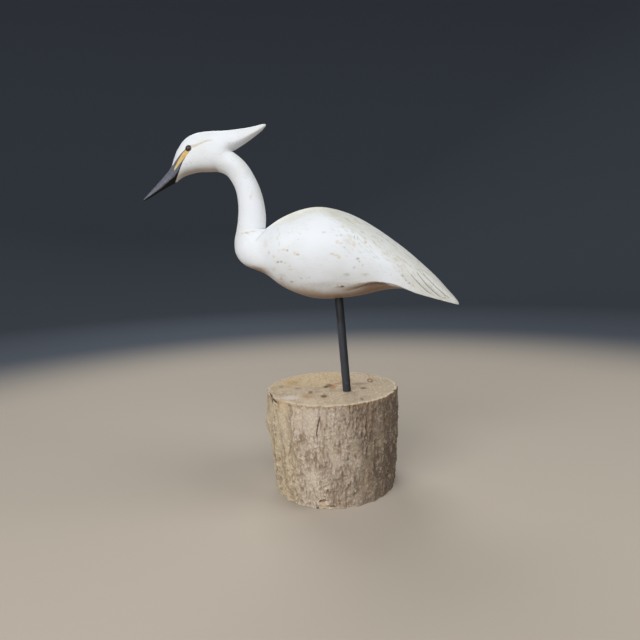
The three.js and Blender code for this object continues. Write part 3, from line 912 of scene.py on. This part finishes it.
# The log: a sawn length of a small tree, standing on one sawn end and keeping its bark. A flake
# of bark has come loose at the rim, and a chip is broken off at the foot.
log_height = 110
log_top_radius = 72.5
log_foot_radius = 66.8
log_rim = 1.5
bark_plates = 22
plate_relief = 1.3
ripple_relief = 0.5
knob_angle, knob_z, knob_height, knob_spread = math.radians(-176), 75, 4.2, 8.6


def bark_radius(angle, z):
    """Outer radius of the bark: taper, lean, upright wandering plates, ripple and knob"""
    t = z / log_height
    taper = log_top_radius - (log_top_radius - log_foot_radius) * (1 - t)**2
    lean = 0.2 * np.cos(angle) + 1.1 * np.sin(angle)
    deeper = (1.7 * t - 0.5) * np.sin(angle)**2
    three_sided = 0.6 * np.sin(3 * angle + 1)
    wander = 0.05 * np.sin(5 * t + 2 * angle) + 0.03 * np.sin(13 * t + angle)
    plates = plate_relief * (np.abs(np.sin(bark_plates / 2 * (angle + wander))) - 0.6)
    ripple = ripple_relief * np.sin(29 * angle + 9 * t) * np.sin(7 * t * math.pi + 3 * angle)
    turn = np.arctan2(np.sin(angle - knob_angle), np.cos(angle - knob_angle))
    from_knob = np.hypot(turn * log_top_radius, 0.8 * (z - knob_z)) / knob_spread
    return taper + lean + deeper + three_sided + plates + ripple + knob_height * np.exp(-from_knob**2)


bark_turns = 570
bark_rows = 138
angles = full_turn(bark_turns)
levels = [(z, 0.0) for z in np.linspace(0, log_height - log_rim, bark_rows)]
for bend in np.linspace(0, math.pi / 2, 4)[1:]:
    levels.append((log_height - log_rim * (1 - math.sin(bend)), log_rim * (1 - math.cos(bend))))
side_rings = []
for z, inset in levels:
    radius = bark_radius(angles, z) - inset
    side_rings.append(np.transpose([radius * np.cos(angles), radius * np.sin(angles), [z] * bark_turns]))
side_rings = np.array(side_rings)


def sawn_end(outline, z, spacing, hole=None):
    """Points and triangles that fill a sawn end, around a round hole if there is one"""
    grid = []
    rows = int(80 / spacing)
    for row in range(-rows, rows + 1):
        for column in range(-rows, rows + 1):
            x = (column + 0.5 * (row % 2)) * spacing
            y = row * spacing * math.sqrt(0.75)
            if math.hypot(x, y) > bark_radius(math.atan2(y, x), z) - log_rim - 0.8 * spacing - 1:
                continue
            if hole is None or math.hypot(x - leg_foot.x, y - leg_foot.y) > leg_radius + 0.8 * spacing:
                grid.append((x, y))
    loop = [tuple(p) for p in outline[:, :2]]
    inner = [] if hole is None else [tuple(p) for p in hole]
    flat = [Vector(p) for p in loop + inner + grid]
    points, _, triangles, *_ = geometry.delaunay_2d_cdt(flat, [], [list(range(len(loop)))], 1, 1e-6)
    points = np.array([tuple(p) for p in points])
    triangles = np.array(triangles)
    if hole is not None:
        middles = points[triangles].mean(axis=1)
        away = np.hypot(middles[:, 0] - leg_foot.x, middles[:, 1] - leg_foot.y)
        triangles = triangles[away > leg_radius]
    return np.concatenate([points, np.full((len(points), 1), z)], 1), triangles


hole_turns = 56
hole_radius = leg_radius + 0.12
hole_angles = full_turn(hole_turns)
hole_circle = hole_radius * np.stack([np.cos(hole_angles), np.sin(hole_angles), np.zeros(hole_turns)], 1)
tilt = np.array(Matrix.Rotation(leg_lean, 3, "Y"))
hole_rings = []
for depth in np.linspace(0, leg_in_log + 0.3, 12):
    hole_rings.append((hole_circle - (0, 0, depth)) @ tilt.T + np.array(leg_foot))
hole_rings = np.array(hole_rings)
hole_rings[0, :, 2] = log_height

log_points = side_rings.reshape(-1, 3)
log_faces = bands(len(levels), bark_turns)
for outline, z, spacing, hole in (
        (side_rings[-1], log_height, 1.35, hole_rings[0][:, :2]), (side_rings[0], 0.0, 4.0, None)):
    points, triangles = sawn_end(outline, z, spacing, hole)
    log_faces += (triangles + len(log_points)).tolist()
    log_points = np.concatenate([log_points, points])
log_faces += bands(len(hole_rings), hole_turns, len(log_points))
log_points = np.concatenate([log_points, hole_rings.reshape(-1, 3)])
log_faces.append(tuple(range(len(log_points) - hole_turns, len(log_points))))
log = new_piece("bark_log", log_points * mm, log_faces)
face_outwards(log.data)

# Cracks in the bark on the side that shows: width, depth, and angle in degrees and height
bark_cracks = [
    (1, 1, [(-100.8, 99.4), (-102.6, 91), (-103.5, 85), (-104.1, 77)]),
    (0.9, 0.5, [(-103.9, 80), (-105.3, 61.8), (-106.5, 46.8), (-107.2, 38)]),
    (0.9, 0.42, [(-96.3, 75.3), (-97.1, 62.6), (-95.1, 55.1), (-93.2, 50.2), (-93.4, 43.3),
                 (-95.4, 27)]),
    (0.9, 0.55, [(-127, 107), (-127.6, 88.2), (-128.5, 70.7), (-133, 53.5), (-134.2, 36.3)]),
    (1.2, 0.5, [(-81.4, 98.9), (-79.8, 86.5), (-80.7, 74.2)]),
    (1.2, 0.6, [(-63.4, 99.7), (-62, 86.2), (-64.6, 73.3), (-62.7, 59.8)]),
    (1.5, 0.6, [(-74, 57), (-72.5, 52)]),
    (1.3, 0.6, [(-152.8, 57), (-152, 53)]),
    (0.8, 0.45, [(-160, 71), (-145, 65.6), (-135, 55)]),
    (1, 0.5, [(-119, 30), (-117, 18), (-118.5, 6)]),
    (1, 0.5, [(-85, 40), (-83.5, 28), (-85.5, 14)]),
]
crack_wander = 0.6
# Smoother patches of bark: angle and height of the middle, half width in degrees, half height
worn_patches = [
    (-112.6, 92, 8, 15), (-90, 52, 4.5, 11), (-74, 67, 4, 8), (-139, 84, 9, 24), (-144, 60, 6, 10),
    (-50, 80, 5, 12), (-110, 30, 4, 8), (-160, 106, 13, 11),
]


def around_axis(co):
    """Angle around the log's upright axis and distance from it, for points in millimetres"""
    return np.arctan2(co[:, 1], co[:, 0]), np.hypot(co[:, 0], co[:, 1])


co = points_of(log.data) / mm
angle, from_axis = around_axis(co)
# both rims are worn and broken unevenly
rim_wear = 1.6
from_edge = bark_radius(angle, co[:, 2]) - from_axis
worn_rim = np.array([max(0, noise.noise(Vector(p) / 5) + 0.5 * noise.noise(Vector(p) / 2.2)) for p in co])
worn_rim = np.clip(worn_rim * 2.6, 0, rim_wear) * np.clip(1.6 - from_edge / 2.6, 0, 1)
co[:, 2] -= worn_rim * np.clip((co[:, 2] - log_height + 3) / 2, 0, 1)
co[:, 2] += worn_rim * np.clip((2.5 - co[:, 2]) / 2.5, 0, 1) * 0.55
set_points(log.data, co * mm)
# cracks wander by plain noise, which is the same in every run; noise_vector isn't
sideways, upwards = Vector((9.3, -1.5, -7.9)), Vector((6.3, 0.2, -2.7))
wander = [[noise.noise(Vector(p) / 6 + shift) for shift in (sideways, upwards)] for p in co]
wander = np.array(wander) * crack_wander
around_log = np.stack([angle * log_top_radius, co[:, 2]], 1)
crack = np.zeros(len(co))
for width, depth, path in bark_cracks:
    path = [(math.radians(turn) * log_top_radius, z) for turn, z in path]
    away, along = from_line(around_log + wander, path)
    fade = np.clip(0.4 + 5 * np.minimum(along, 1 - along), 0, 1)
    crack = np.maximum(crack, np.clip(1 - away / width, 0, 1) * fade * depth)
worn = np.zeros(len(co))
for middle, z, half_turn, half_high in worn_patches:
    away = np.hypot((np.degrees(angle) - middle) / half_turn, (co[:, 2] - z) / half_high)
    worn = np.maximum(worn, np.clip(1.5 - away, 0, 1))
on_bark = from_axis > bark_radius(angle, co[:, 2]) - log_rim - 0.1
on_bark = on_bark * np.clip((log_height + 2.2 - co[:, 2]) / 4, 0, 1) * np.clip(co[:, 2] / 1.5, 0.15, 1)
keep_values(log.data, on_bark=on_bark, worn=worn, crack=crack * (from_axis > 66))


def bark_relief_tree():
    """Geometry Nodes that press the bark's lumps and furrows into the log"""
    tree = bpy.data.node_groups.new("bark relief", "GeometryNodeTree")
    tree.interface.new_socket("Log", in_out="INPUT", socket_type="NodeSocketGeometry")
    for name, value in {
            "Lump depth": 1.7 * mm, "Furrow depth": 1.6 * mm, "Crack depth": 2.2 * mm, "Lump scale": 370.0,
            "Crumb scale": 360.0, "Ridge scale": 135.0, "Furrow scale": 90.0, "Furrowed scale": 70.0,
            "Rough scale": 44.0, "Seed": 7.0}.items():
        socket = tree.interface.new_socket(name, in_out="INPUT", socket_type="NodeSocketFloat")
        socket.default_value = value
    tree.interface.new_socket("Finish", in_out="INPUT", socket_type="NodeSocketMaterial")
    tree.interface.new_socket("Log", in_out="OUTPUT", socket_type="NodeSocketGeometry")
    given = {socket.name: Wire(tree, socket) for socket in tree.nodes.new("NodeGroupInput").outputs[:-1]}
    start = given["Log"]
    position = start.node("GeometryNodeInputPosition", {}, {})

    def kept_value(name):
        return start.node("GeometryNodeInputNamedAttribute", {"data_type": "FLOAT"}, {"Name": name})

    def lengthened(stretch):
        return on_vectors("MULTIPLY", position, (1, 1, stretch))

    def seeded_noise(stretch, scale, detail, distortion):
        return position.node("ShaderNodeTexNoise", {"noise_dimensions": "4D"}, {
            "Vector": lengthened(stretch), "W": given["Seed"], "Scale": scale, "Detail": detail,
            "Roughness": 0.6, "Distortion": distortion})

    outward = on_vectors("NORMALIZE", lengthened(0))
    crumbs = position.node("ShaderNodeTexVoronoi", {}, {
        "Vector": lengthened(0.6), "Scale": given["Crumb scale"]}, "Distance")
    ridges = seeded_noise(0.2, given["Ridge scale"], 2.0, 0.6)
    lump = 0.62 * seeded_noise(0.36, given["Lump scale"], 2.5, 0.8) + 0.38 * ridges
    lump = rises(lump - 0.25 * (crumbs - 0.45), 0.35, 0.64)
    furrows = seeded_noise(0.2, given["Furrow scale"], 3.0, 0.6)
    furrowed = rises(seeded_noise(1, given["Furrowed scale"], 1.0, 0), 0.36, 0.52)
    furrow = (1 - rises(abs(furrows - 0.5), 0.0, 0.055)) * furrowed
    rough = 0.55 + 0.45 * rises(seeded_noise(0.3, given["Rough scale"], 1.5, 0.4), 0.40, 0.56)
    rough = rough * (1 - 0.8 * kept_value("worn"))
    sunk = ((1 - lump) * given["Lump depth"] + furrow * given["Furrow depth"]) * rough
    sunk = (sunk + kept_value("crack") * given["Crack depth"]) * kept_value("on_bark")
    moved = outward.node("ShaderNodeVectorMath", {"operation": "SCALE"}, {0: outward, "Scale": 0 - sunk})
    noted = start
    for name, value in (("sunk", sunk), ("rough", rough)):
        noted = noted.node("GeometryNodeStoreNamedAttribute", {"data_type": "FLOAT", "domain": "POINT"}, {
            "Geometry": noted, "Name": name, "Value": value})
    pressed = noted.node("GeometryNodeSetPosition", {}, {"Geometry": noted, "Offset": moved})
    real = pressed.node("GeometryNodeRealizeInstances", {}, {0: pressed})
    dressed = real.node("GeometryNodeSetMaterial", {}, {"Geometry": real, "Material": given["Finish"]})
    tree.links.new(dressed.socket, tree.nodes.new("NodeGroupOutput").inputs[0])
    return tree


log_finish, log_shader, place = new_finish("bark and sawn wood")
relief = log.modifiers.new("bark relief", "NODES")
relief.node_group = bark_relief_tree()
for item in relief.node_group.interface.items_tree:
    if item.in_out == "INPUT" and item.name == "Finish":
        relief[item.identifier] = log_finish
plain_mesh(log)

# The crack behind the loose flake starts inside the rim and comes out through the bark
flake_from, flake_to, flake_deep = math.radians(-172), math.radians(-148.8), 13
flake_thick, flake_thick_end, flake_opening = 3.0, -0.3, 1.2
slot_rings = []
for t in np.linspace(0, 1, 33):
    angle = flake_from + (flake_to - flake_from) * t
    radius = float(bark_radius(angle, log_height)) - (flake_thick + (flake_thick_end - flake_thick) * t**4)
    half_open = flake_opening * (0.1 + 0.4 * math.sin(math.pi * (0.1 + 0.8 * t)))
    foot = log_height - flake_deep * math.sin(math.pi * (0.12 + 0.8 * t))
    corners = ((radius - half_open, log_height + 1), (radius + half_open, log_height + 1), (radius, foot))
    slot_rings.append([(r * math.cos(angle), r * math.sin(angle), z) for r, z in corners])
worked(log, skin_of("slot", slot_rings), "DIFFERENCE")

chip_angle, chip_z = math.radians(-101), 6.5
chip_deep, chip_wide, chip_high = 3.2, 6, 4.2
bite = ball("bite", Vector((0, 0, 0)), 1, 24, 13)
turn = np.array(Matrix.Rotation(chip_angle, 3, "Z"))
co = points_of(bite.data) / mm * (chip_deep, chip_wide, chip_high)
co += (float(bark_radius(chip_angle, chip_z)) - 0.4, 0, chip_z)
set_points(bite.data, co @ turn.T * mm)
worked(log, bite, "DIFFERENCE")
inside_box_of(log, "log_base")
co = points_of(log.data) / mm
angle, from_axis = around_axis(co)
keep_values(
    log.data, turned=np.degrees(np.arcsin(np.clip(np.cos(angle), -1, 1))),
    from_rim=(bark_radius(angle, co[:, 2]) - from_axis) * mm)
log.data.shade_smooth()

# bark: yellowish on the left, pinkish grey in front, and darker to the right, partly as painted shade; pale
# crowns of the lumps as painted light, and dark hollows between them as painted shade
upright = math.pi / 2
up = along_axis("Z")
blotch = cloud(50, 3, 0.55, 1.7, upright)
fine = cloud(620, 4, 0.7, 1.8, upright)
mottle = cloud(210, 3, 0.62, 2.4, upright)
grain = cloud(1150, 2, 0.6, 1.5, upright)
hue = cloud(105, 3, 0.6, 2.4, upright)
streaks = cloud(140, 3, 0.6, 6.0, upright)
crumb = cells(520, 1.5, upright)
rough_edge = fine - 0.5
turned = kept("turned") + 36 * (blotch - 0.5)
# the crowns' painted light is pale on the left and darker to the right
painted_light_tips = laid_over((0.78, 0.715, 0.61), ((0.37, 0.33, 0.28), rises(turned, -14, 36)))
crown_painted_light = 0.6 * fine + 0.45 * grain + 0.3 * mottle - 0.35 * crumb - 105 * kept("sunk")
crown_painted_light = crown_painted_light - 0.3 * (streaks - 0.5)
hollow_painted_shade = rises(kept("sunk") - 0.0016 * rough_edge + 0.0009 * (crumb - 0.45), 0.95 * mm, 2.0 * mm)
bark = laid_over(
    (0.58, 0.465, 0.3),
    # darker towards the right, partly as painted shade
    ((0.56, 0.455, 0.355), rises(turned, -52, -22)),
    ((0.225, 0.163, 0.112), rises(turned, -18, 38)),
    ((0.11, 0.072, 0.047), rises(turned, 26, 58) * 0.9),
    ((0.42, 0.30, 0.24), rises(hue, 0.50, 0.64) * (1 - rises(turned, 10, 45)) * 0.5),
    ((0.36, 0.27, 0.15), rises(0.6 * hue + 0.4 * mottle, 0.54, 0.62) * 0.5),
    ((0.26, 0.17, 0.10), rises(0.5 * blotch + 0.5 * mottle, 0.54, 0.64) * 0.28),
    ((0.30, 0.225, 0.155), rises(streaks, 0.52, 0.64) * (1 - rises(turned, 20, 50)) * 0.4),
    (painted_light_tips, rises(crown_painted_light, 0.39, 0.61) * (0.3 + 0.42 * kept("rough"))),
    ((0.16, 0.11, 0.072), hollow_painted_shade * 0.35))


def saw_marks(scale, detail, roughness, low, high):
    """Patches on the sawn ends, drawn out a little along the saw's strokes"""
    return rises(cloud(scale, detail, roughness, 1.0, 0.0, 2.4), low, high)


# the sawn ends: light tan, rough and freckled, yellower behind, with a paler ring of bark
to_right, to_back = along_axis("X"), along_axis("Y")
rear = rises(to_back + 0.02 * (blotch - 0.5), -0.02, 0.02)
rear = rear * (1 - rises(to_right + 0.02 * (hue - 0.5), 0.0, 0.03))
rim = 1 - rises(kept("from_rim") + 0.0024 * (mottle - 0.5), 3.2 * mm, 4.2 * mm)
sawn = laid_over(
    (0.5, 0.385, 0.262),
    ((0.595, 0.475, 0.335), saw_marks(75, 4, 0.6, 0.4, 0.62)),
    ((0.66, 0.485, 0.275), rear * 0.7),
    ((0.43, 0.355, 0.25), rises(to_right - 0.6 * to_back, 0.02, 0.06) * 0.55),
    ((0.40, 0.275, 0.155), saw_marks(170, 4, 0.65, 0.52, 0.66) * 0.45),
    ((0.74, 0.66, 0.54), saw_marks(420, 4, 0.7, 0.52, 0.66) * 0.65),
    ((0.25, 0.165, 0.09), saw_marks(640, 3, 0.65, 0.58, 0.68) * 0.55),
    ((0.66, 0.56, 0.41), rim * 0.7))
# knots, stains and small checks in the upper sawn end: place, length and width, colour, strength
dark, brown, rosy = (0.085, 0.052, 0.016), (0.17, 0.095, 0.05), (0.43, 0.22, 0.09)
sawn_marks = [
    (0.8, -0.5, 6.6, 12.5, rosy, 0.8), (-2.4, 5.5, 4.6, 9, (0.21, 0.12, 0.06), 0.9),
    (-6.3, -0.5, 3.4, 5.5, dark, 1), (7, 12, 5, 5, (0.33, 0.2, 0.1), 0.6),
    (10.5, 16, 4.5, 12, rosy, 0.35), (-8.9, -38.5, 4.6, 7, brown, 1),
    (-23.1, -21.4, 3.4, 8, brown, 0.75), (-26, -37, 8, 11, rosy, 0.5),
    (-15, -20, 6, 4.5, (0.33, 0.21, 0.11), 0.5), (-37.8, -2.6, 4.4, 6, brown, 0.5),
    (-44.8, 25.4, 8, 13, (0.5, 0.31, 0.12), 0.6), (-57, 8, 4, 9, brown, 0.4),
    (34.6, -12.1, 4.6, 5, brown, 0.85), (29.3, -54.1, 2, 7, brown, 0.6),
    (12.5, -56.5, 3, 8, (0.42, 0.34, 0.19), 0.5), (31, 8, 12, 6, (0.26, 0.195, 0.13), 0.65),
    (-44, -38.5, 12, 9, (0.7, 0.63, 0.555), 0.7), (-54, -49, 6, 9, rosy, 0.5),
]
any_height = 1e6
for x, y, long, wide, mark_colour, strength in sawn_marks:
    mark = 1 - rises(oval((x, y, 0), (long, wide, any_height)) + 1.5 * rough_edge, 0.35, 1.15)
    sawn = laid_over(sawn, (mark_colour, mark * strength))
knot = oval((45.1, 20.7, 0), (2.6, 7.5, any_height))
sawn = laid_over(
    sawn,
    ((0.44, 0.29, 0.145), (1 - rises(knot, 0.7, 1.5)) * 0.6),
    ((0.22, 0.13, 0.06), (1 - rises(abs(knot + 0.6 * rough_edge - 1), 0.15, 0.45)) * 0.85))
on_top = rises(up + 0.0028 * rough_edge, (log_height - 1.6) * mm, (log_height - 0.6) * mm)
# just under the rim the inner bark shows, orange brown, and to the left it is scraped pale
inner_bark = rises(up + 0.012 * (mottle - 0.5), (log_height - 5.2) * mm, (log_height - 2.2) * mm)
from_scrape = on_vectors("DISTANCE", place, (-52 * mm, -51 * mm, 105 * mm))
scraped = 1 - rises(from_scrape + 0.009 * (mottle - 0.5), 0.003, 0.010)
colour = laid_over(
    bark,
    (sawn, on_top + (1 - rises(up, 0.2 * mm, 0.5 * mm))),
    ((0.36, 0.205, 0.085), inner_bark * (1 - on_top) * rises(fine, 0.42, 0.56) * 0.8),
    ((0.62, 0.47, 0.30), scraped * (0.35 + 0.6 * fine)),
    ((0.09, 0.063, 0.043), rises(kept("crack") + 0.9 * rough_edge, 0.2, 0.7) * 0.9))
# painted shade in the crack behind the flake, a dark line: middle, half length, and how it is turned
crack_shade_lines = [
    ((-64.9, -25.5, 107), (13.0, 1.0, 6), (0, 0, -77.2)),
    ((-60.5, -38.5, 107.3), (5.6, 4.0, 1.0), (0, 42.1, -49.4)),
]
for middle, half, turns in crack_shade_lines:
    line = place.node("ShaderNodeMapping", {"vector_type": "TEXTURE"}, {
        "Vector": place, "Location": [v * mm for v in middle], "Scale": [v * mm for v in half],
        "Rotation": [math.radians(v) for v in turns]})
    painted_crack_shade = 1 - rises(on_vectors("LENGTH", line) + 0.5 * rough_edge, 0.6, 1.1)
    colour = laid_over(colour, ((0.05, 0.03, 0.018), painted_crack_shade))
# the broken foot: tan wood, brown where the chip came off with painted shade in its left corner, and the
# painted shadow of two gaps under the edge
foot_marks = [
    ((-13.2, 3.6), 3.4, 3.6, (0.54, 0.41, 0.27)),
    ((-14.4, 8.5), 3.8, 2.9, (0.33, 0.20, 0.10)),
    ((-16.9, 7.8), 1.7, 1.3, (0.14, 0.08, 0.04)),
    ((-4.4, 2.8), 5.0, 0.8, (0.10, 0.06, 0.03)),
    ((-19.6, 0.4), 1.8, 1.2, (0.10, 0.06, 0.03)),
]
for (x, z), long, high, chip_colour in foot_marks:
    mark = 1 - rises(oval((x, -61.5, z), (long, 8, high)) + 1.1 * rough_edge, 0.55, 1.1)
    colour = laid_over(colour, (chip_colour, mark * 0.9))
height = 0.8 * fine + 0.5 * mottle + 0.35 * grain - 0.45 * crumb * (1 - on_top)
feed(log_shader, colour, 0.8 + 0.12 * fine, height, 1.4 * mm)
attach(log, "root")
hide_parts("log_base")
